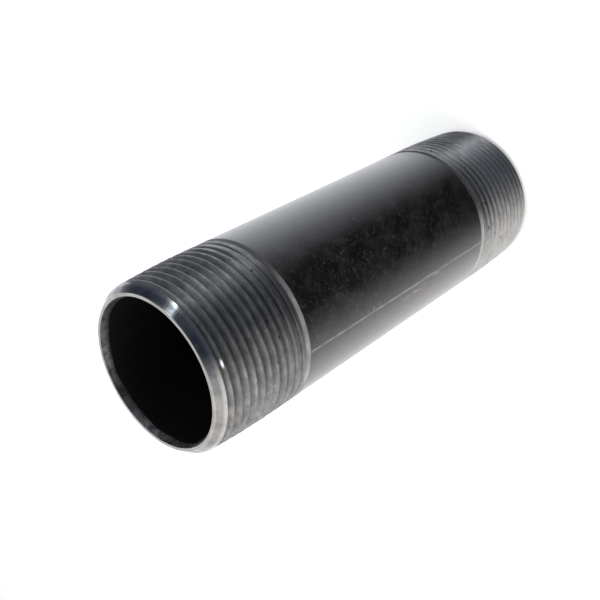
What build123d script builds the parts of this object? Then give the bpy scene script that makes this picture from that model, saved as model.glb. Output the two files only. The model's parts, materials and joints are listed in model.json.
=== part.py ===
from build123d import *
import os
from math import atan, degrees, floor, radians, tan

# Tube, all sizes in millimetres
overall_length = 127.0
outside_diameter = 42.16
wall_thickness = 3.555

# Taper pipe thread, right-handed, the same at both ends
threads_per_inch = 11.5
thread_taper = 1 / 16
flank_angle = 30.0
crest_flat_share = 0.3
runout_turns = 3.25
last_groove_depth = 0.3
groove_lead = 2.5

# Shoulder ring, where the thread ends against the plain barrel
thread_length = 25.9
shoulder_ring_width = 1.45
shoulder_ring_depth = 0.3

# Bevel outside, bare lip and deburring cone inside, at each end
bevel_length = 2.1
bevel_height = 1.5
lip_width = 0.74
deburr_length = 1.3

# Derived tube sizes
inch = 25.4
outside_radius = outside_diameter / 2
bore_radius = outside_radius - wall_thickness
half_length = overall_length / 2
shoulder = thread_length + shoulder_ring_width

# Derived thread sizes: the crests follow a cone that reaches the tube's diameter at the shoulder
pitch = inch / threads_per_inch
radial_taper = thread_taper / 2
flank_slope = tan(radians(flank_angle))
crest_flat = crest_flat_share * pitch
thread_height = (pitch - crest_flat) / (2 * flank_slope)
crest_radius_at_end = outside_radius - shoulder * radial_taper
root_radius_at_end = crest_radius_at_end - thread_height

# Derived end sizes
bevel_slope = bevel_height / bevel_length
lip_outer_radius = crest_radius_at_end + bevel_length * radial_taper - bevel_height
lip_inner_radius = lip_outer_radius - lip_width
bevel_reach = (outside_radius - lip_outer_radius) / bevel_slope
ring_slope = shoulder_ring_depth / shoulder_ring_width

# Thread cutter: a triangle a little taller than the thread, too narrow to meet its own next turn
cutter_clearance = 0.8 * crest_flat / (2 * flank_slope)
cutter_reach = thread_height + cutter_clearance
cutter_mouth = cutter_reach * flank_slope

# The groove runs at full depth for as many whole turns as leave room for the runout before the ring,
# then climbs until only a scratch is left
cut_start = -groove_lead
full_depth_turns = floor((thread_length + crest_flat - cut_start) / pitch - runout_turns)
cut_radius = root_radius_at_end + cut_start * radial_taper
runout_start = cut_start + full_depth_turns * pitch
runout_radius = root_radius_at_end + runout_start * radial_taper
runout_length = runout_turns * pitch - crest_flat
runout_slope = (outside_radius - last_groove_depth - runout_radius) / runout_length
turn_overlap = 0.01


def cut_groove(start, radius, length, slope):
    """Sweep the thread cutter along a right-hand helix on a cone and take it out of the part."""
    with BuildLine() as helix:
        Helix(
            pitch=pitch,
            height=length,
            radius=radius,
            center=(0, 0, start),
            cone_angle=degrees(atan(slope)),
        )
    with BuildSketch(Plane(origin=helix.line @ 0, x_dir=(1, 0, 0), z_dir=helix.line % 0)) as cutter:
        with BuildLine():
            Polyline((0, 0), (cutter_reach, -cutter_mouth), (cutter_reach, cutter_mouth), close=True)
        make_face()
    sweep(sections=cutter.sketch, path=helix.line, is_frenet=True, mode=Mode.SUBTRACT)


with BuildPart() as threaded_half:
    # Half a tube: bore, deburring cone, end face, the crests' cone and the plain barrel
    with BuildSketch(Plane.XZ):
        with BuildLine():
            Polyline(
                (bore_radius, deburr_length),
                (lip_inner_radius, 0),
                (crest_radius_at_end, 0),
                (outside_radius, shoulder),
                (outside_radius, half_length),
                (bore_radius, half_length),
                close=True,
            )
        make_face()
    revolve(axis=Axis.Z)

    # Thread: full depth along the taper, then the runout
    cut_groove(cut_start, cut_radius, (full_depth_turns + turn_overlap) * pitch, radial_taper)
    cut_groove(runout_start, runout_radius, runout_length, runout_slope)

    # Shoulder ring: a shallow cone from just under the last crest up to the barrel
    with BuildSketch(Plane.XZ):
        with BuildLine():
            Polyline(
                (outside_radius - shoulder_ring_depth, thread_length),
                (outside_radius + cutter_reach * ring_slope, shoulder + cutter_reach),
                (outside_radius + cutter_reach * ring_slope, thread_length),
                close=True,
            )
        make_face()
    revolve(axis=Axis.Z, mode=Mode.SUBTRACT)

    # Bevel: takes the corner and the first partial turn off the end
    with BuildSketch(Plane.XZ):
        with BuildLine():
            Polyline(
                (lip_outer_radius, -groove_lead),
                (lip_outer_radius, 0),
                (outside_radius, bevel_reach),
                (outside_radius, -groove_lead),
                close=True,
            )
        make_face()
    revolve(axis=Axis.Z, mode=Mode.SUBTRACT)

# The far half is the same one turned over, not mirrored, so both threads stay right-handed
with BuildPart() as pipe_nipple:
    add(threaded_half.part)
    with Locations((0, 0, overall_length)):
        add(threaded_half.part, rotation=(180, 0, 0))

os.makedirs("parts", exist_ok=True)
pipe_nipple.part.label = "pipe_nipple"
export_step(pipe_nipple.part, "parts/pipe_nipple.step")
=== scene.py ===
import json
import math

import bpy
from mathutils import Matrix, Vector


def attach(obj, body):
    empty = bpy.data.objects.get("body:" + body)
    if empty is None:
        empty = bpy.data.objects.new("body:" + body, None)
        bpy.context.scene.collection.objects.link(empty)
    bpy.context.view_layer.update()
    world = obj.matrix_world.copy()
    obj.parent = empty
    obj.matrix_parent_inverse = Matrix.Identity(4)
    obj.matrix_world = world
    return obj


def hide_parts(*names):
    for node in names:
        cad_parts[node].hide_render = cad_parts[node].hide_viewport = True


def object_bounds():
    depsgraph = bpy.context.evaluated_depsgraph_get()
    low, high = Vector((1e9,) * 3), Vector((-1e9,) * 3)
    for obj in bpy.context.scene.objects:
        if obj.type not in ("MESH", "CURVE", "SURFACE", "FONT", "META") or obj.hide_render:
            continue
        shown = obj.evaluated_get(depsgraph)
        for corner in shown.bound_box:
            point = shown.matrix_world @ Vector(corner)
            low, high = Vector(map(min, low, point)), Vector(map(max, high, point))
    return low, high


bl_info = {
    "name": "Pipe Nipple",
    "version": (1, 0, 0),
    "blender": (4, 5, 0),
    "location": "View3D > Sidebar > Pipe Nipple",
    "description": "Builds a black steel pipe nipple with taper threads and its studio",
    "category": "Object",
}

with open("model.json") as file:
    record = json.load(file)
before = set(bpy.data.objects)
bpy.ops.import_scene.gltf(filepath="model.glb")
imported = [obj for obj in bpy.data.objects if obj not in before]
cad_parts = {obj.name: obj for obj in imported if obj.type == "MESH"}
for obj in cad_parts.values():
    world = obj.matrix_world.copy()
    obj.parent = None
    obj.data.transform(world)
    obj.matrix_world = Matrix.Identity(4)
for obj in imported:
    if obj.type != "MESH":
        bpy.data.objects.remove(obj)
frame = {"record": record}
CAD_LOW, CAD_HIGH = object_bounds()
MM = 0.001

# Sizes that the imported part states
MOUNTS = {m["name"]: m for m in frame["record"]["mounts"]}
LENGTH = CAD_HIGH.z - CAD_LOW.z
OUTER_RADIUS = MOUNTS["barrel"]["dims"]["r_mm"] * MM
BORE_RADIUS = MOUNTS["bore"]["dims"]["r_mm"] * MM
SHOULDER = (LENGTH - MOUNTS["barrel"]["dims"]["length_mm"] * MM) / 2


def clamp(value, low=0.0, high=1.0):
    return max(low, min(high, value))


def ease(low, high, value):
    """0 at low, 1 at high, smooth between."""
    t = clamp((value - low) / (high - low))
    return t * t * (3 - 2 * t)


def smaller(a, b, rounding):
    """The smaller of two radii, with the corner between them rounded off."""
    h = clamp(0.5 + 0.5 * (b - a) / rounding)
    return b + (a - b) * h - rounding * h * (1 - h)


# Settings


class NippleSizes(bpy.types.PropertyGroup):
    pitch: bpy.props.FloatProperty(
        name="Pitch", description="Thread pitch", default=25.4 / 11.5 * MM, subtype="DISTANCE", unit="LENGTH"
    )
    thread_depth: bpy.props.FloatProperty(
        name="Thread depth", description="Crest to root where the thread is complete", default=1.52 * MM, unit="LENGTH"
    )
    crest_at_end: bpy.props.FloatProperty(
        name="Crest radius at the end", description="Crest radius just past the bevel", default=20.42 * MM, unit="LENGTH"
    )
    full_crests: bpy.props.FloatProperty(
        name="Turned crests", description="Distance from the end over which the crests lie under the tube's diameter", default=17.5 * MM, unit="LENGTH"
    )
    first_root: bpy.props.FloatProperty(
        name="First root", description="Distance of the first root from the end, at the start angle", default=1.917 * MM, unit="LENGTH"
    )
    runout_start: bpy.props.FloatProperty(
        name="Runout start", description="Distance from the end where the roots start to climb", default=17.4 * MM, unit="LENGTH"
    )
    ring_width: bpy.props.FloatProperty(
        name="Ring width", description="Bare ring between the last groove and the barrel", default=1.45 * MM, unit="LENGTH"
    )
    ring_depth: bpy.props.FloatProperty(
        name="Ring depth", description="How far the ring's thread side lies under the barrel", default=0.3 * MM, unit="LENGTH"
    )
    bevel_length: bpy.props.FloatProperty(
        name="Bevel length", description="Length of the outer bevel along the tube", default=2.1 * MM, unit="LENGTH"
    )
    lip_outer: bpy.props.FloatProperty(
        name="Lip outer radius", description="Outer radius of the flat end face", default=18.79 * MM, unit="LENGTH"
    )
    lip_inner: bpy.props.FloatProperty(
        name="Lip inner radius", description="Inner radius of the flat end face", default=18.05 * MM, unit="LENGTH"
    )
    deburr_length: bpy.props.FloatProperty(
        name="Deburring length", description="Mean length of the cone cut inside the mouth", default=1.3 * MM, unit="LENGTH"
    )
    # Painted shade: away from this angle the shoulder ring is painted dark; the side towards it, the lit side, keeps
    # its colour.
    painted_lit_angle: bpy.props.FloatProperty(
        name="Scraped side", description="Side where the shoulder ring is scraped bright",
        default=math.radians(-90 - 75), subtype="ANGLE",
    )
    # A real nicked spot on the first crest; its glint is painted in as a white matt spot.
    nick_glint_angle: bpy.props.FloatProperty(
        name="Nick angle", description="Bright nick on the first crest, round the tube",
        default=math.radians(-90 - 14.5), subtype="ANGLE",
    )
    nick_glint_distance: bpy.props.FloatProperty(
        name="Nick distance", description="Bright nick from the top end", default=3.3 * MM, unit="LENGTH"
    )
    seam_angle: bpy.props.FloatProperty(
        name="Seam angle", description="Where the tube's weld seam runs", default=math.radians(-90 - 38.5), subtype="ANGLE"
    )
    columns: bpy.props.IntProperty(name="Columns", description="Facets round the tube", default=180, min=24)


class NippleFinish(bpy.types.PropertyGroup):
    lacquer: bpy.props.FloatVectorProperty(
        name="Lacquer", description="Black lacquer on the barrel", default=(0.0024, 0.0025, 0.0028), subtype="COLOR"
    )
    steel: bpy.props.FloatVectorProperty(
        name="Cut steel", description="Bare steel of the threads", default=(0.535, 0.54, 0.55), subtype="COLOR"
    )
    bright_steel: bpy.props.FloatVectorProperty(
        name="Turned steel", description="Bevel and lip", default=(0.56, 0.56, 0.56), subtype="COLOR"
    )
    ring_steel: bpy.props.FloatVectorProperty(
        name="Scraped steel", description="Ring at the shoulder", default=(0.47, 0.47, 0.47), subtype="COLOR"
    )
    oil: bpy.props.FloatVectorProperty(
        name="Oil", description="Dark cutting oil in the roots", default=(0.03, 0.03, 0.032), subtype="COLOR"
    )


class NippleStudio(bpy.types.PropertyGroup):
    focal: bpy.props.FloatProperty(name="Focal length", description="In pixels of a 600 pixel frame", default=877.77)
    near_end: bpy.props.FloatVectorProperty(
        name="Near end", description="Top end face's centre from the camera, in tube radii: right, down, forward",
        default=(-1.4922, 0.7532, 8.9420),
    )
    turn: bpy.props.FloatProperty(name="Turn", description="Tube axis from the view line, sideways", default=0.789, subtype="ANGLE")
    rise: bpy.props.FloatProperty(name="Rise", description="Tube axis from the view line, upwards", default=-0.391, subtype="ANGLE")
    world_level: bpy.props.FloatProperty(name="World level", description="Brightness of the surroundings", default=0.75)


# The threaded tube


def crest_line(s, d):
    """Radius of the turned blank at distance d from an end: bevel, crests, ring and barrel."""
    bevel = s.lip_outer + d * (s.crest_at_end - s.lip_outer) / s.bevel_length
    t = clamp((d - s.bevel_length) / (s.full_crests - s.bevel_length))
    crest = s.crest_at_end + (OUTER_RADIUS - s.crest_at_end) * (1 - (1 - t) ** 1.6)
    ring_start = SHOULDER - s.ring_width
    if d > ring_start:
        crest = OUTER_RADIUS - s.ring_depth * (1 - ease(0, 1, (d - ring_start) / s.ring_width))
    return smaller(bevel, crest, 0.12 * MM) if d < 2 * s.bevel_length else crest


def groove_depth(s, d):
    """Depth of the groove at its root: full, then climbing to a scratch before the ring."""
    last = SHOULDER - s.ring_width
    t = clamp((d - s.runout_start) / (last - s.runout_start))
    return s.thread_depth * (1 - t) + 0.28 * MM * t


def thread_radius(s, d, phase):
    """Outer radius where phase runs from -0.5 to 0.5 pitch across a root."""
    crest = crest_line(s, d)
    depth = groove_depth(s, d)
    last = SHOULDER - s.ring_width
    fade = 1 - ease(last - 0.2 * MM, last + 0.5 * MM, d)
    flank = depth - abs(phase) * s.pitch / math.tan(math.radians(30))
    root_rounding = 0.08 * MM
    flank = smaller(flank, depth - root_rounding, root_rounding)
    cut = crest - flank
    return crest + (smaller(cut, crest, 0.5 * MM) - crest) * fade


PHASES = (-0.46, -0.42, -0.385, -0.35, -0.29, -0.22, -0.15, -0.08, 0.0, 0.08, 0.15, 0.22, 0.29, 0.35, 0.385, 0.42, 0.46, 0.5)


def thread_rows(s, turn):
    """Distances and phases of the rows of one column through the thread; turn is the column's share of a lead."""
    start, stop = s.bevel_length + 0.1 * MM, SHOULDER - 0.08 * MM
    rows = []
    for k in range(-2, int(stop / s.pitch) + 3):
        for phase in PHASES:
            d = s.first_root + (k + phase + turn) * s.pitch
            if start < d < stop:
                rows.append((d, phase))
    return rows


def deburr_reach(s, angle, top):
    """The hand-cut cone inside the mouth is deeper on one side and wavers."""
    side = 0.55 * math.cos(angle - (math.radians(75) if top else math.radians(-40)))
    waver = 0.16 * math.sin(3 * angle + 0.7) + 0.1 * math.sin(7 * angle + 2.1) + 0.05 * math.sin(13 * angle)
    return s.deburr_length * clamp(1 + side + waver, 0.25, 2)


def bore_radius_at(s, angle):
    """Bore with the low bead of the weld inside."""
    off = (angle - s.seam_angle + math.pi) % (2 * math.pi) - math.pi
    return BORE_RADIUS - 0.22 * MM * math.exp(-((off * BORE_RADIUS / (0.9 * MM)) ** 2))


BARREL, THREAD, BEVEL, RING, BORE, DEBURR = range(6)


def column_rows(s, j):
    """One column of the closed tube wall, as (radius, height, finish, kind, helical key)."""
    angle = 2 * math.pi * j / s.columns
    share = j / s.columns
    bevel_steps = 6
    bevel = [(s.bevel_length + 0.02 * MM) * i / bevel_steps for i in range(bevel_steps + 1)]
    barrel_steps = 26
    rows = []
    for i, d in enumerate(bevel):
        rows.append((crest_line(s, d), LENGTH - d, BEVEL, "grid"))
    for d, phase in thread_rows(s, -share):
        rows.append((thread_radius(s, d, phase), LENGTH - d, RING if d > SHOULDER - s.ring_width else THREAD, "helix"))
    for i in range(barrel_steps + 1):
        z = LENGTH - SHOULDER - (LENGTH - 2 * SHOULDER) * i / barrel_steps
        rows.append((OUTER_RADIUS, z, BARREL if i < barrel_steps else RING, "grid"))
    for d, phase in reversed(thread_rows(s, share)):
        rows.append((thread_radius(s, d, phase), d, RING if d > SHOULDER - s.ring_width else THREAD, "helix"))
    for d in reversed(bevel):
        rows.append((crest_line(s, d), d, BEVEL, "grid"))
    low, high = deburr_reach(s, angle, False), deburr_reach(s, angle, True)
    bore = bore_radius_at(s, angle)
    mid = 0.5
    rows.append((s.lip_inner, 0.0, DEBURR, "grid"))
    rows.append((s.lip_inner + (bore - s.lip_inner) * mid, low * mid, DEBURR, "grid"))
    bore_steps = 18
    for i in range(bore_steps + 1):
        z = low + (LENGTH - low - high) * i / bore_steps
        rows.append((bore, z, BORE if i < bore_steps else DEBURR, "grid"))
    rows.append((s.lip_inner + (bore - s.lip_inner) * mid, LENGTH - high * mid, DEBURR, "grid"))
    rows.append((s.lip_inner, LENGTH, BEVEL, "grid"))
    return rows


def tube_mesh(s):
    """The whole tube as one closed mesh, its rows following the helix through each thread."""
    vertices, columns = [], []
    for j in range(s.columns):
        angle = 2 * math.pi * j / s.columns
        column = []
        for radius, z, finish, kind in column_rows(s, j):
            column.append((len(vertices), z, finish, kind))
            vertices.append((radius * math.cos(angle), radius * math.sin(angle), z))
        columns.append(column)
    faces, finishes = [], []
    for j in range(s.columns):
        a, b = columns[j], columns[(j + 1) % s.columns]
        i = k = 0
        while i < len(a) or k < len(b):
            more_a, more_b = i < len(a), k < len(b)
            next_a, next_b = a[(i + 1) % len(a)], b[(k + 1) % len(b)]
            if more_a and more_b and next_a[3] == next_b[3]:
                near = next_a[3] == "grid" or abs(next_a[1] - next_b[1]) < 0.45 * s.pitch / s.columns + s.pitch / s.columns
            else:
                near = False
            if near:
                faces.append((a[i][0], b[k][0], next_b[0], next_a[0]))
                finishes.append(a[i][2])
                i, k = i + 1, k + 1
                continue
            if more_a and more_b:
                if next_a[3] != next_b[3]:
                    step_a = next_a[3] == "helix"
                else:
                    down = next_a[1] < a[i][1]
                    step_a = (next_a[1] > next_b[1]) if down else (next_a[1] < next_b[1])
            else:
                step_a = more_a
            if step_a:
                faces.append((a[i][0], b[k % len(b)][0], next_a[0]))
                finishes.append(a[i][2])
                i += 1
            else:
                faces.append((a[i % len(a)][0], b[k][0], next_b[0]))
                finishes.append(b[k][2])
                k += 1
    mesh = bpy.data.meshes.new("pipe_nipple_tube")
    mesh.from_pydata(vertices, [], faces)
    mesh.polygons.foreach_set("material_index", finishes)
    mesh.validate()
    mesh.update()
    return mesh


# Shader nodes


class Nodes:
    """Adds nodes to one tree with their inputs in one call."""

    def __init__(self, tree):
        self.tree = tree

    def add(self, kind, inputs=None, **settings):
        node = self.tree.nodes.new(kind)
        for name, value in settings.items():
            setattr(node, name, value)
        for name, value in (inputs or {}).items():
            socket = node.inputs[name]
            if isinstance(value, bpy.types.NodeSocket):
                self.tree.links.new(value, socket)
            else:
                socket.default_value = value
        return node

    def math(self, operation, a, b=None, c=None, clamped=False):
        values = {i: v for i, v in enumerate((a, b, c)) if v is not None}
        return self.add("ShaderNodeMath", values, operation=operation, use_clamp=clamped).outputs[0]

    def ramp(self, value, low, high, out_low=0.0, out_high=1.0):
        return self.add(
            "ShaderNodeMapRange",
            {"Value": value, "From Min": low, "From Max": high, "To Min": out_low, "To Max": out_high},
            interpolation_type="SMOOTHSTEP",
        ).outputs["Result"]

    def noise(self, vector, scale, detail=3.0, roughness=0.55, distortion=0.0):
        return self.add(
            "ShaderNodeTexNoise",
            {"Vector": vector, "Scale": scale, "Detail": detail, "Roughness": roughness, "Distortion": distortion},
        ).outputs["Fac"]

    def stretch(self, vector, across, along, shift=(0.0, 0.0, 0.0)):
        return self.add(
            "ShaderNodeMapping", {"Vector": vector, "Scale": (across, across, along), "Location": shift}
        ).outputs["Vector"]

    def mix(self, factor, a, b, blend="MIX"):
        node = self.add("ShaderNodeMix", data_type="RGBA", blend_type=blend)
        for name, value in (("Factor", factor), ("A", a), ("B", b)):
            socket = next(x for x in node.inputs if x.name == name and x.enabled)
            if isinstance(value, bpy.types.NodeSocket):
                self.tree.links.new(value, socket)
            elif name == "Factor":
                socket.default_value = value
            else:
                socket.default_value = (*value[:3], 1.0)
        return next(x for x in node.outputs if x.enabled)


def new_group(name, inputs, outputs):
    tree = bpy.data.node_groups.new(name, "ShaderNodeTree")
    for socket, kind, default in inputs:
        made = tree.interface.new_socket(name=socket, in_out="INPUT", socket_type=kind)
        if default is not None:
            made.default_value = default
    for socket, kind in outputs:
        tree.interface.new_socket(name=socket, in_out="OUTPUT", socket_type=kind)
    nodes = Nodes(tree)
    return nodes, nodes.add("NodeGroupInput"), nodes.add("NodeGroupOutput")


FLOAT, COLOUR, VECTOR = "NodeSocketFloat", "NodeSocketColor", "NodeSocketVector"


def turning_lines_group():
    """Fine rings that a lathe or die leaves: lines along the tube, drawn out round it."""
    n, given, out = new_group(
        "Turning lines",
        [("Vector", VECTOR, None), ("Lines per metre", FLOAT, 3000.0), ("Round scale", FLOAT, 90.0)],
        [("Height", FLOAT), ("Bands", FLOAT)],
    )
    parts = n.add("ShaderNodeSeparateXYZ", {"Vector": given.outputs["Vector"]})
    squashed = n.add(
        "ShaderNodeCombineXYZ",
        {
            "X": n.math("MULTIPLY", parts.outputs["X"], given.outputs["Round scale"]),
            "Y": n.math("MULTIPLY", parts.outputs["Y"], given.outputs["Round scale"]),
            "Z": n.math("MULTIPLY", parts.outputs["Z"], given.outputs["Lines per metre"]),
        },
    ).outputs[0]
    fine = n.noise(squashed, 1.0, 2.0, 0.6)
    wide = n.noise(n.stretch(squashed, 1.0, 0.25, (3.1, 1.7, 5.3)), 1.0, 2.0, 0.5)
    n.tree.links.new(fine, out.inputs["Height"])
    n.tree.links.new(n.ramp(wide, 0.3, 0.7), out.inputs["Bands"])
    return n.tree


def nicks_group():
    """Small dark nicks and pits. Stretch over 1 draws them out round the tube, under 1 along it."""
    n, given, out = new_group(
        "Nicks",
        [("Vector", VECTOR, None), ("Scale", FLOAT, 900.0), ("Stretch", FLOAT, 2.5), ("Amount", FLOAT, 0.3)],
        [("Mask", FLOAT)],
    )
    parts = n.add("ShaderNodeSeparateXYZ", {"Vector": given.outputs["Vector"]})
    drawn = n.add(
        "ShaderNodeCombineXYZ",
        {
            "X": parts.outputs["X"],
            "Y": parts.outputs["Y"],
            "Z": n.math("MULTIPLY", parts.outputs["Z"], given.outputs["Stretch"]),
        },
    ).outputs[0]
    cells = n.add("ShaderNodeTexVoronoi", {"Vector": drawn, "Scale": given.outputs["Scale"], "Randomness": 1.0})
    pick = n.add("ShaderNodeSeparateColor", {"Color": cells.outputs["Color"]})
    chosen = n.math("LESS_THAN", pick.outputs["Red"], given.outputs["Amount"])
    size = n.math("MULTIPLY_ADD", pick.outputs["Green"], 0.3, 0.12)
    spot = n.add(
        "ShaderNodeMapRange",
        {"Value": cells.outputs["Distance"], "From Min": size, "From Max": n.math("MULTIPLY", size, 0.4)},
        interpolation_type="SMOOTHSTEP",
    ).outputs["Result"]
    n.tree.links.new(n.math("MULTIPLY", spot, chosen), out.inputs["Mask"])
    return n.tree


def place(n, group, inputs):
    node = n.add("ShaderNodeGroup", node_tree=group)
    for name, value in inputs.items():
        if isinstance(value, bpy.types.NodeSocket):
            n.tree.links.new(value, node.inputs[name])
        else:
            node.inputs[name].default_value = value
    return node


def new_material(name, roughness, metallic, specular=0.5):
    material = bpy.data.materials.new(name)
    material.use_nodes = True
    material.node_tree.nodes.clear()
    n = Nodes(material.node_tree)
    shader = n.add(
        "ShaderNodeBsdfPrincipled",
        {"Roughness": roughness, "Metallic": metallic, "Specular IOR Level": specular},
    )
    output = n.add("ShaderNodeOutputMaterial", {"Surface": shader.outputs[0]})
    output.is_active_output = True
    where = n.add("ShaderNodeTexCoord").outputs["Object"]
    return material, n, shader, where


def tube_radius(n, where):
    parts = n.add("ShaderNodeSeparateXYZ", {"Vector": where})
    squares = n.math("ADD", n.math("POWER", parts.outputs["X"], 2.0), n.math("POWER", parts.outputs["Y"], 2.0))
    return n.math("SQRT", squares), parts


def join(n, shader, name, value):
    n.tree.links.new(value, shader.inputs[name])


def bump(n, shader, height, distance, strength=1.0):
    node = n.add("ShaderNodeBump", {"Height": height, "Distance": distance, "Strength": strength})
    join(n, shader, "Normal", node.outputs[0])


def brushed(n, shader, amount):
    """Spreads highlights across the turning lines, which run round the tube."""
    tangent = n.add("ShaderNodeTangent", direction_type="RADIAL", axis="Z")
    join(n, shader, "Tangent", tangent.outputs[0])
    shader.inputs["Anisotropic"].default_value = amount
    shader.inputs["Anisotropic Rotation"].default_value = 0.25


def distance_from_end(n, parts):
    middle = n.math("ABSOLUTE", n.math("SUBTRACT", parts.outputs["Z"], LENGTH / 2))
    return n.math("SUBTRACT", LENGTH / 2, middle)


def end_side(n, parts):
    """1 at the top end, -1 at the bottom end."""
    return n.math("SIGN", n.math("SUBTRACT", parts.outputs["Z"], LENGTH / 2))


def painted_light_below(n, parts, base, amount):
    """Painted light: the bottom end's steel is mixed towards white by this share, fading out on its +X side."""
    below = n.math("LESS_THAN", parts.outputs["Z"], LENGTH / 2)
    below = n.math("MULTIPLY", below, n.ramp(parts.outputs["X"], 8 * MM, 18 * MM, 1.0, 0.0))
    return n.mix(n.math("MULTIPLY", below, amount), base, (1.0, 1.0, 1.0))


def off_root(n, s, parts, from_end):
    """How far a point lies from the nearest root, in pitches: 0 in the root, 0.5 on the crest."""
    turn = n.math("DIVIDE", n.math("ARCTAN2", parts.outputs["Y"], parts.outputs["X"]), 2 * math.pi)
    turns = n.math("DIVIDE", n.math("SUBTRACT", from_end, s.first_root), s.pitch)
    turns = n.math("ADD", turns, n.math("MULTIPLY", turn, end_side(n, parts)))
    part = n.math("FRACT", n.math("ADD", turns, 0.5))
    return n.math("ABSOLUTE", n.math("SUBTRACT", part, 0.5))


def lacquer_material(s, finish, groups):
    """Satin black lacquer over the welded tube, with the seam line, dust specks and rubs."""
    material, n, shader, where = new_material("Black lacquer", 0.3, 0.0, 0.5)
    shader.inputs["IOR"].default_value = 2.1
    shader.inputs["Coat Weight"].default_value = 1.0
    shader.inputs["Coat Roughness"].default_value = 0.2
    parts = n.add("ShaderNodeSeparateXYZ", {"Vector": where})
    seam_x, seam_y = math.cos(s.seam_angle), math.sin(s.seam_angle)
    across = n.math(
        "ADD", n.math("MULTIPLY", parts.outputs["X"], -seam_y), n.math("MULTIPLY", parts.outputs["Y"], seam_x)
    )
    seam_side = n.math(
        "ADD", n.math("MULTIPLY", parts.outputs["X"], seam_x), n.math("MULTIPLY", parts.outputs["Y"], seam_y)
    )
    seam = n.math(
        "MULTIPLY",
        n.ramp(n.math("ABSOLUTE", across), 0.12 * MM, 0.36 * MM, 1.0, 0.0),
        n.math("GREATER_THAN", seam_side, 0.0),
    )
    broken = n.ramp(n.noise(n.stretch(where, 60.0, 260.0), 1.0, 2.0, 0.6), 0.35, 0.6, 0.45, 1.0)
    seam = n.math("MULTIPLY", seam, broken)
    rub_band = n.math("MULTIPLY", n.ramp(across, -5.0 * MM, -3.0 * MM), n.ramp(across, -0.6 * MM, 0.0, 1.0, 0.0))
    rub_height = n.math("ABSOLUTE", n.math("SUBTRACT", parts.outputs["Z"], 0.42 * LENGTH))
    rub_band = n.math("MULTIPLY", rub_band, n.ramp(rub_height, 4 * MM, 15 * MM, 1.0, 0.0))
    rub_band = n.math("MULTIPLY", rub_band, n.math("GREATER_THAN", seam_side, 0.0))
    rubs = n.ramp(n.noise(n.stretch(where, 900.0, 260.0, (0.7, 0.2, 0.0)), 1.0, 3.0, 0.7), 0.52, 0.68)
    rubs = n.math("MULTIPLY", rubs, rub_band)
    stroke_band = n.math("MULTIPLY", n.ramp(across, -2.0 * MM, 0.0), n.ramp(across, 3.0 * MM, 6.0 * MM, 1.0, 0.0))
    stroke_height = n.math("ABSOLUTE", n.math("SUBTRACT", parts.outputs["Z"], 0.6 * LENGTH))
    stroke_band = n.math("MULTIPLY", stroke_band, n.ramp(stroke_height, 2 * MM, 7 * MM, 1.0, 0.0))
    stroke_band = n.math("MULTIPLY", stroke_band, n.math("GREATER_THAN", seam_side, 0.0))
    strokes = place(n, groups["nicks"], {"Vector": where, "Scale": 480.0, "Stretch": 5.0, "Amount": 0.3})
    strokes = n.math("MULTIPLY", strokes.outputs["Mask"], stroke_band)
    dust = n.ramp(n.noise(where, 1100.0, 2.0, 0.6), 0.5, 0.8)
    cloud = n.noise(where, 210.0, 3.0, 0.6)
    grain = n.noise(n.stretch(where, 900.0, 90.0), 1.0, 3.0, 0.6)
    specks = place(n, groups["nicks"], {"Vector": where, "Scale": 1500.0, "Stretch": 0.8, "Amount": 0.012})
    base = n.mix(n.ramp(cloud, 0.35, 0.7), finish.lacquer, tuple(4.0 * c for c in finish.lacquer))
    base = n.mix(n.math("MULTIPLY", specks.outputs["Mask"], 0.5), base, (0.2, 0.2, 0.205))
    base = n.mix(n.math("MULTIPLY", dust, 0.8), base, (0.030, 0.031, 0.036))
    base = n.mix(n.math("MULTIPLY", rubs, 0.55), base, (0.17, 0.145, 0.135))
    base = n.mix(n.math("MULTIPLY", strokes, 0.7), base, (0.17, 0.17, 0.17))
    base = n.mix(n.math("MULTIPLY", seam, 0.8), base, (0.16, 0.16, 0.156))
    join(n, shader, "Base Color", base)
    rough = n.math("ADD", n.ramp(cloud, 0.3, 0.7, 0.285, 0.345), n.math("MULTIPLY", seam, 0.2))
    join(n, shader, "Roughness", rough)
    height = n.math("ADD", n.math("MULTIPLY", grain, 0.3), n.math("MULTIPLY", seam, -0.6))
    bump(n, shader, height, 0.02 * MM, 0.5)
    return material


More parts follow.
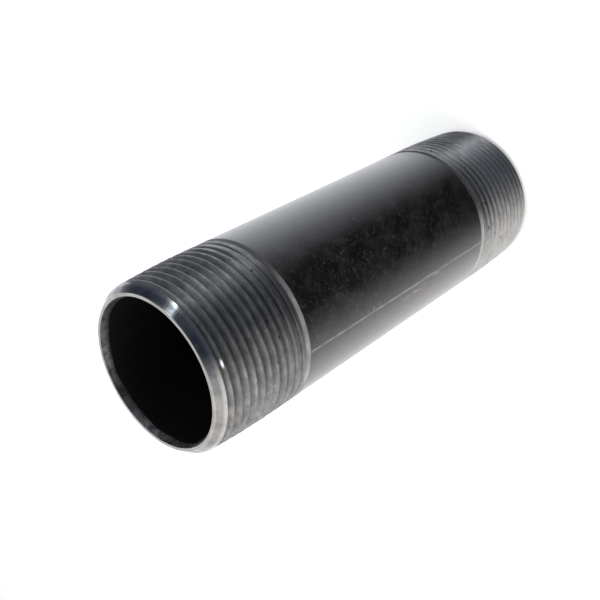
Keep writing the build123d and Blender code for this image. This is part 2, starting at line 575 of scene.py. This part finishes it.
def thread_material(s, finish, groups):
    """Die-cut steel: lighter on the crests, dark oil left in the roots, duller and scored near the shoulder."""
    material, n, shader, where = new_material("Cut thread steel", 0.45, 1.0)
    brushed(n, shader, 0.7)
    parts = n.add("ShaderNodeSeparateXYZ", {"Vector": where})
    from_end = distance_from_end(n, parts)
    beside = off_root(n, s, parts, from_end)
    scored = n.ramp(from_end, 15 * MM, 23 * MM)
    root = n.ramp(beside, 0.0, 0.2, 0.12, 0.0)
    score = n.math("MULTIPLY", n.ramp(beside, 0.02, 0.09, 0.8, 0.0), scored)
    score = n.math("MULTIPLY", score, n.ramp(n.noise(where, 170.0, 2.0, 0.5), 0.42, 0.58, 0.35, 1.0))
    lines = place(n, groups["lines"], {"Vector": where, "Lines per metre": 2600.0, "Round scale": 150.0})
    nicks = place(
        n,
        groups["nicks"],
        {"Vector": where, "Scale": 460.0, "Stretch": 1.6, "Amount": n.ramp(scored, 0.0, 1.0, 0.03, 0.2)},
    )
    cloud = n.noise(where, 260.0, 4.0, 0.65)
    fine = n.noise(n.stretch(where, 420.0, 1500.0), 1.0, 3.0, 0.65)
    base = n.mix(n.ramp(cloud, 0.3, 0.7), finish.steel, tuple(0.66 * c for c in finish.steel))
    base = n.mix(n.ramp(fine, 0.45, 0.75, 0.0, 0.6), base, tuple(0.35 * c for c in finish.steel))
    base = n.mix(n.ramp(fine, 0.3, 0.45, 0.35, 0.0), base, (0.9, 0.9, 0.91))
    base = n.mix(n.math("MULTIPLY", lines.outputs["Bands"], 0.4), base, tuple(0.55 * c for c in finish.steel))
    base = n.mix(n.math("MULTIPLY", scored, 0.35), base, tuple(0.5 * c for c in finish.steel))
    # Painted light: the bottom thread's steel is lightened, except on its +X side.
    base = painted_light_below(n, parts, base, 0.4)
    base = n.mix(n.math("MAXIMUM", root, score), base, finish.oil)
    base = n.mix(n.math("MULTIPLY", nicks.outputs["Mask"], 0.6), base, (0.03, 0.03, 0.032))
    # Painted highlight: the glint of a nicked spot on the first crest, painted as white with little metal in it.
    spot = Vector((math.cos(s.nick_glint_angle), math.sin(s.nick_glint_angle), 0)) * s.crest_at_end
    spot.z = LENGTH - s.nick_glint_distance
    off_spot = n.add("ShaderNodeVectorMath", {0: where, 1: spot}, operation="SUBTRACT").outputs[0]
    off_spot = n.add("ShaderNodeVectorMath", {0: off_spot, 1: (0.55, 0.55, 2.6)}, operation="MULTIPLY").outputs[0]
    off_spot = n.add("ShaderNodeVectorMath", {0: off_spot}, operation="LENGTH").outputs["Value"]
    nick_glint = n.ramp(off_spot, 0.1 * MM, 0.8 * MM, 0.9, 0.0)
    join(n, shader, "Base Color", n.mix(nick_glint, base, (0.9, 0.91, 0.95)))
    join(n, shader, "Metallic", n.math("SUBTRACT", 1.0, nick_glint))
    rubbed = n.math("MULTIPLY", n.ramp(beside, 0.3, 0.42), n.math("LESS_THAN", parts.outputs["Z"], LENGTH / 2))
    rubbed = n.math("MULTIPLY", rubbed, n.ramp(fine, 0.4, 0.6, 0.16, 0.08))
    rough = n.math("SUBTRACT", n.ramp(cloud, 0.25, 0.75, 0.42, 0.54), rubbed)
    join(n, shader, "Roughness", rough)
    grain = n.noise(where, 1700.0, 2.0, 0.6)
    height = n.math("ADD", n.math("MULTIPLY", lines.outputs["Height"], 0.6), n.math("MULTIPLY", grain, 0.5))
    height = n.math("SUBTRACT", height, n.math("MULTIPLY", nicks.outputs["Mask"], 1.2))
    bump(n, shader, height, 0.07 * MM, 0.8)
    return material


def bevel_material(s, finish, groups):
    """The turned bevel and the lip: near mirror-bright, with faint rings, clouds and bluish patches on one side; a
    painted highlight on the lip and the bevel's outer border, painted shade on the rest of the bevel.
    """
    material, n, shader, where = new_material("Turned bevel", 0.2, 1.0)
    radius, parts = tube_radius(n, where)
    from_end = distance_from_end(n, parts)
    lines = place(n, groups["lines"], {"Vector": where, "Lines per metre": 4500.0, "Round scale": 60.0})
    cloud = n.noise(where, 300.0, 2.0, 0.5)
    patch_noise = n.noise(n.stretch(where, 380.0, 700.0, (0.4, 0.0, 0.0)), 1.0, 2.0, 0.6)
    # Masks for the painted highlight: the bevel's outer border next to the first crest, and the lip.
    painted_edge = n.ramp(from_end, 0.55 * s.bevel_length, 0.85 * s.bevel_length)
    lip = n.ramp(from_end, 0.02 * s.bevel_length, 0.12 * s.bevel_length, 1.0, 0.0)
    plain = n.mix(n.ramp(cloud, 0.35, 0.7), finish.bright_steel, tuple(0.7 * c for c in finish.bright_steel))
    turned_y = n.math("MULTIPLY", parts.outputs["Y"], end_side(n, parts))
    turned = n.add("ShaderNodeCombineXYZ", {"X": parts.outputs["X"], "Y": turned_y}).outputs[0]
    # Bluish patches on the side facing (0.34, -0.94, 0), mirrored at the bottom end.
    bluish_side = n.ramp(facing(n, turned, (0.34, -0.94, 0.0)), 0.45 * OUTER_RADIUS, 0.8 * OUTER_RADIUS)
    bluish_patches = n.math("MULTIPLY", n.ramp(patch_noise, 0.42, 0.62, 0.0, 0.7), bluish_side)
    worked = n.mix(bluish_patches, plain, (0.24, 0.29, 0.38))
    # Painted shade: the bevel's middle is mixed 22% towards black; painted highlight: the border and the lip a quarter
    # of the way to white.
    middle = n.mix(0.22, worked, (0.0, 0.0, 0.0))
    bright = n.mix(0.25, plain, (1.0, 1.0, 1.0))
    base = n.mix(n.math("MAXIMUM", painted_edge, lip), middle, bright)
    join(n, shader, "Base Color", base)
    join(n, shader, "Roughness", n.ramp(cloud, 0.3, 0.7, 0.14, 0.26))
    bump(n, shader, lines.outputs["Height"], 0.008 * MM, 0.5)
    return material


def ring_material(s, finish, groups):
    """Scraped bare ring at the shoulder, matt and pale, with painted shade on the side away from the light and a
    painted shadow line along the top ring's thread side.
    """
    material, n, shader, where = new_material("Scraped ring", 0.55, 0.8)
    brushed(n, shader, 0.5)
    lines = place(n, groups["lines"], {"Vector": where, "Lines per metre": 2500.0, "Round scale": 150.0})
    nicks = place(n, groups["nicks"], {"Vector": where, "Scale": 620.0, "Stretch": 1.2, "Amount": 0.08})
    patch = n.noise(where, 190.0, 2.0, 0.6)
    base = n.mix(n.ramp(patch, 0.35, 0.65), finish.ring_steel, tuple(0.7 * c for c in finish.ring_steel))
    parts = n.add("ShaderNodeSeparateXYZ", {"Vector": where})
    # Mask for the painted shade: 1 on the ring's lit side, fading to 0 on the far side.
    turned_y = n.math("MULTIPLY", parts.outputs["Y"], end_side(n, parts))
    painted_lit = n.add("ShaderNodeCombineXYZ", {"X": parts.outputs["X"], "Y": turned_y}).outputs[0]
    painted_lit = facing(n, painted_lit, (math.cos(s.painted_lit_angle), math.sin(s.painted_lit_angle), 0))
    painted_lit = n.ramp(painted_lit, -0.15 * OUTER_RADIUS, 0.3 * OUTER_RADIUS)
    # Painted light: the bottom ring's steel is lightened, except on its +X side.
    base = painted_light_below(n, parts, base, 0.4)
    # Painted shade: the far side is mixed down to 0.28 of the ring's colour.
    base = n.mix(painted_lit, tuple(0.28 * c for c in finish.ring_steel), base)
    # Painted shadow: a dark line along the top ring's thread side, where it steps up from the last groove, only on the
    # lit side.
    painted_edge = n.ramp(distance_from_end(n, parts), SHOULDER - s.ring_width, SHOULDER - 0.6 * s.ring_width)
    painted_edge = n.math("MULTIPLY", n.math("SUBTRACT", 1.0, painted_edge), painted_lit)
    painted_edge = n.math("MULTIPLY", painted_edge, n.math("GREATER_THAN", parts.outputs["Z"], LENGTH / 2))
    base = n.mix(painted_edge, base, tuple(0.25 * c for c in finish.ring_steel))
    base = n.mix(n.math("MULTIPLY", nicks.outputs["Mask"], 0.6), base, (0.03, 0.03, 0.03))
    join(n, shader, "Base Color", base)
    join(n, shader, "Roughness", n.ramp(patch, 0.3, 0.7, 0.52, 0.66))
    bump(n, shader, n.math("SUBTRACT", lines.outputs["Height"], nicks.outputs["Mask"]), 0.03 * MM, 0.7)
    return material


def bore_material(s, finish, groups):
    """Lacquer inside the tube, duller, with faint drawn streaks."""
    material, n, shader, where = new_material("Bore lacquer", 0.5, 0.0, 0.1)
    streaks = n.noise(n.stretch(where, 700.0, 14.0), 1.0, 3.0, 0.6)
    base = n.mix(n.ramp(streaks, 0.35, 0.75), (0.0024, 0.0026, 0.0026), (0.0032, 0.0033, 0.0033))
    join(n, shader, "Base Color", base)
    join(n, shader, "Roughness", n.ramp(streaks, 0.3, 0.7, 0.62, 0.66))
    bump(n, shader, streaks, 0.02 * MM, 0.1)
    return material


def deburr_material(s, finish, groups):
    """Hand-cut cone inside the mouth: grey, mottled, with chatter."""
    material, n, shader, where = new_material("Deburred mouth", 0.45, 1.0)
    nicks = place(n, groups["nicks"], {"Vector": where, "Scale": 650.0, "Stretch": 1.0, "Amount": 0.25})
    cloud = n.noise(where, 420.0, 3.0, 0.6)
    base = n.mix(n.ramp(cloud, 0.35, 0.65), finish.steel, tuple(0.3 * c for c in finish.steel))
    base = n.mix(n.math("MULTIPLY", nicks.outputs["Mask"], 0.6), base, (0.03, 0.03, 0.03))
    join(n, shader, "Base Color", base)
    join(n, shader, "Roughness", n.ramp(cloud, 0.3, 0.7, 0.35, 0.55))
    bump(n, shader, n.math("SUBTRACT", cloud, nicks.outputs["Mask"]), 0.03 * MM, 0.6)
    return material


class OBJECT_OT_nipple_tube(bpy.types.Operator):
    """Build the threaded tube with its finishes in place of the plain solid"""

    bl_idname = "object.nipple_tube"
    bl_label = "Build Threaded Tube"

    def execute(self, context):
        s, finish = context.scene.nipple_sizes, context.scene.nipple_finish
        tube = bpy.data.objects.new("pipe_nipple_tube", tube_mesh(s))
        context.scene.collection.objects.link(tube)
        for polygon in tube.data.polygons:
            polygon.use_smooth = True
        groups = {"lines": turning_lines_group(), "nicks": nicks_group()}
        makers = {
            BARREL: lacquer_material,
            THREAD: thread_material,
            BEVEL: bevel_material,
            RING: ring_material,
            BORE: bore_material,
            DEBURR: deburr_material,
        }
        for index in sorted(makers):
            tube.data.materials.append(makers[index](s, finish, groups))
        tube.data.set_sharp_from_angle(angle=math.radians(32))
        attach(tube, "root")
        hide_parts("pipe_nipple")
        return {"FINISHED"}


# Studio


def camera_frame(studio):
    """Camera place and axes in the part's frame, from where the tube stands in the picture."""
    near = Vector(studio.near_end)
    axis = Vector(
        (
            math.cos(studio.rise) * math.sin(studio.turn),
            math.sin(studio.rise),
            math.cos(studio.rise) * math.cos(studio.turn),
        )
    )
    across = -near - axis * (-near).dot(axis)
    across.normalize()
    side = axis.cross(across)
    part_axes = (Vector((0, 0, -1)), Vector((0, -1, 0)), Vector((-1, 0, 0)))

    def to_part(v):
        return sum((p * v.dot(c) for p, c in zip(part_axes, (axis, across, side))), Vector((0, 0, 0)))

    place_at = Vector((0, 0, LENGTH)) - to_part(near) * OUTER_RADIUS
    right, up, back = to_part(Vector((1, 0, 0))), to_part(Vector((0, -1, 0))), to_part(Vector((0, 0, -1)))
    return place_at, Matrix((right, up, back)).transposed()


def lamp(name, place_at, target, size, power, colour=(1.0, 1.0, 1.0), mirrored=False):
    data = bpy.data.lights.new(name, "AREA")
    data.shape = "RECTANGLE"
    data.size, data.size_y, data.energy, data.color = *size, power, colour
    o = bpy.data.objects.new(name, data)
    bpy.context.scene.collection.objects.link(o)
    o.location = place_at
    o.rotation_mode = "QUATERNION"
    o.rotation_quaternion = (Vector(target) - Vector(place_at)).to_track_quat("-Z", "Y")
    o.visible_glossy = mirrored
    return o


def facing(n, direction, towards):
    """Cosine between the direction looked in and a fixed one."""
    node = n.add("ShaderNodeVectorMath", {0: direction, 1: Vector(towards).normalized()}, operation="DOT_PRODUCT")
    return node.outputs["Value"]


def room_reflected(n):
    """What metal sees above the table: a dark room, a broad pale side, a pale back and a dim pale ceiling."""
    direction = n.add("ShaderNodeTexCoord").outputs["Generated"]
    parts = n.add("ShaderNodeSeparateXYZ", {"Vector": direction})
    side = n.ramp(facing(n, direction, (-0.93, 0.1, 0.36)), 0.3, 0.95)
    back = n.math(
        "MULTIPLY",
        n.ramp(parts.outputs["Y"], 0.3, 0.8, 0.0, 0.75),
        n.ramp(parts.outputs["X"], 0.2, 0.8, 1.0, 0.0),
    )
    ceiling = n.math("MULTIPLY", n.ramp(facing(n, direction, (0.15, 0.1, 1.0)), 0.75, 0.97), 0.3)
    return n.mix(n.math("MAXIMUM", n.math("MAXIMUM", side, back), ceiling), (0.052, 0.062, 0.085), (0.97, 0.94, 0.905))


def studio_world(studio):
    """Even white light; the camera sees white, and glossy surfaces see the room."""
    world = bpy.data.worlds.new("Studio")
    world.use_nodes = True
    world.node_tree.nodes.clear()
    n = Nodes(world.node_tree)
    path = n.add("ShaderNodeLightPath")
    even = n.add("ShaderNodeBackground", {"Color": (1, 1, 1, 1), "Strength": studio.world_level})
    room = n.add("ShaderNodeBackground", {"Color": room_reflected(n), "Strength": 1.0})
    white = n.add("ShaderNodeBackground", {"Color": (1, 1, 1, 1), "Strength": 1.0})
    seen = n.add("ShaderNodeMixShader", {0: path.outputs["Is Glossy Ray"], 1: even.outputs[0], 2: room.outputs[0]})
    seen = n.add("ShaderNodeMixShader", {0: path.outputs["Is Camera Ray"], 1: seen.outputs[0], 2: white.outputs[0]})
    n.add("ShaderNodeOutputWorld", {"Surface": seen.outputs[0]})
    return world


def floor_material():
    """Pale matt floor. Glossy surfaces see it dark towards the camera, as where a dark flag stands."""
    material = bpy.data.materials.new("Pale floor")
    material.use_nodes = True
    material.node_tree.nodes.clear()
    n = Nodes(material.node_tree)
    where = n.add("ShaderNodeTexCoord").outputs["Object"]
    parts = n.add("ShaderNodeSeparateXYZ", {"Vector": where})
    flat = n.add("ShaderNodeCombineXYZ", {"X": parts.outputs["X"], "Y": parts.outputs["Y"]}).outputs[0]
    distance = n.add("ShaderNodeVectorMath", {0: flat}, operation="LENGTH").outputs["Value"]
    front = n.math("MULTIPLY", parts.outputs["Y"], -1.0)
    angle = n.math("ABSOLUTE", n.math("ARCTAN2", parts.outputs["X"], front))
    pale_side = n.ramp(parts.outputs["X"], -40 * MM, 0.0, 18 * MM, 14 * MM)
    spread = n.math("ADD", n.math("DIVIDE", pale_side, distance), 1.0)
    angle = n.math("MULTIPLY", angle, spread)
    near = n.ramp(angle, math.radians(25), math.radians(130), 0.01, 1.0)
    far = n.ramp(distance, 0.2, 0.7, 0.0, 0.35)
    shade = n.math("MAXIMUM", near, far)
    outside = n.math("GREATER_THAN", distance, OUTER_RADIUS)
    beside = n.math("MULTIPLY", n.ramp(distance, 28 * MM, 42 * MM, 0.6, 0.0), n.ramp(parts.outputs["X"], 0.0, 15 * MM))
    outside = n.math("SUBTRACT", outside, n.math("MULTIPLY", outside, beside))
    matt = n.add("ShaderNodeBsdfPrincipled", {"Base Color": (0.93, 0.935, 0.94, 1), "Roughness": 0.9, "Specular IOR Level": 0.1})
    cool = n.mix(n.ramp(parts.outputs["X"], -60 * MM, 60 * MM), (1.0, 0.985, 0.97), (0.965, 0.99, 1.04))
    glow = n.add("ShaderNodeEmission", {"Color": cool, "Strength": n.math("MULTIPLY", shade, outside)})
    path = n.add("ShaderNodeLightPath")
    seen = n.add("ShaderNodeMixShader", {0: path.outputs["Is Glossy Ray"], 1: matt.outputs[0], 2: glow.outputs[0]})
    n.add("ShaderNodeOutputMaterial", {"Surface": seen.outputs[0]})
    return material


class SCENE_OT_nipple_studio(bpy.types.Operator):
    """Set up the world, the pale floor, soft lamps and the camera"""

    bl_idname = "scene.nipple_studio"
    bl_label = "Set Up Studio"

    def execute(self, context):
        scene, studio = context.scene, context.scene.nipple_studio
        scene.view_settings.view_transform = "Standard"
        scene.world = studio_world(studio)

        mesh = bpy.data.meshes.new("floor")
        reach = 3.0
        mesh.from_pydata([(-reach, -reach, 0), (reach, -reach, 0), (reach, reach, 0), (-reach, reach, 0)], [], [(0, 1, 2, 3)])
        floor = bpy.data.objects.new("floor", mesh)
        scene.collection.objects.link(floor)
        mesh.materials.append(floor_material())

        lamp("Window", (0.73, -0.415, 0.45), (0, 0, LENGTH), (0.085, 1.0), 0.85, (0.93, 0.97, 1.0), mirrored=True)
        lamp("Overhead", (0.25, -0.15, 0.7), (0, 0, 0.06), (0.5, 0.5), 3.0)
        lamp("Table side", (-0.6, -0.2, 0.4), (0, 0, 0.06), (0.5, 0.5), 6.0, (1.0, 0.98, 0.95))

        place_at, axes = camera_frame(studio)
        data = bpy.data.cameras.new("Camera")
        data.sensor_fit, data.sensor_width = "HORIZONTAL", 36.0
        data.lens = studio.focal * data.sensor_width / 600
        data.clip_start, data.clip_end = 0.01, 20.0
        camera = bpy.data.objects.new("Camera", data)
        scene.collection.objects.link(camera)
        camera.matrix_world = Matrix.Translation(place_at) @ axes.to_4x4()
        scene.camera = camera
        return {"FINISHED"}


class VIEW3D_PT_nipple(bpy.types.Panel):
    bl_label = "Pipe Nipple"
    bl_idname = "VIEW3D_PT_nipple"
    bl_space_type = "VIEW_3D"
    bl_region_type = "UI"
    bl_category = "Pipe Nipple"

    def draw(self, context):
        layout = self.layout
        for settings in (context.scene.nipple_sizes, context.scene.nipple_finish, context.scene.nipple_studio):
            box = layout.box()
            for name in settings.bl_rna.properties.keys():
                if name not in {"rna_type", "name"}:
                    box.prop(settings, name)
        layout.operator(OBJECT_OT_nipple_tube.bl_idname)
        layout.operator(SCENE_OT_nipple_studio.bl_idname)


SETTINGS = {"nipple_sizes": NippleSizes, "nipple_finish": NippleFinish, "nipple_studio": NippleStudio}
CLASSES = (*SETTINGS.values(), OBJECT_OT_nipple_tube, SCENE_OT_nipple_studio, VIEW3D_PT_nipple)


def register():
    for cls in CLASSES:
        bpy.utils.register_class(cls)
    for name, cls in SETTINGS.items():
        setattr(bpy.types.Scene, name, bpy.props.PointerProperty(type=cls))


def unregister():
    for name in SETTINGS:
        delattr(bpy.types.Scene, name)
    for cls in reversed(CLASSES):
        bpy.utils.unregister_class(cls)


def main():
    register()
    bpy.ops.object.nipple_tube()
    bpy.ops.scene.nipple_studio()


if __name__ == "__main__":
    main()
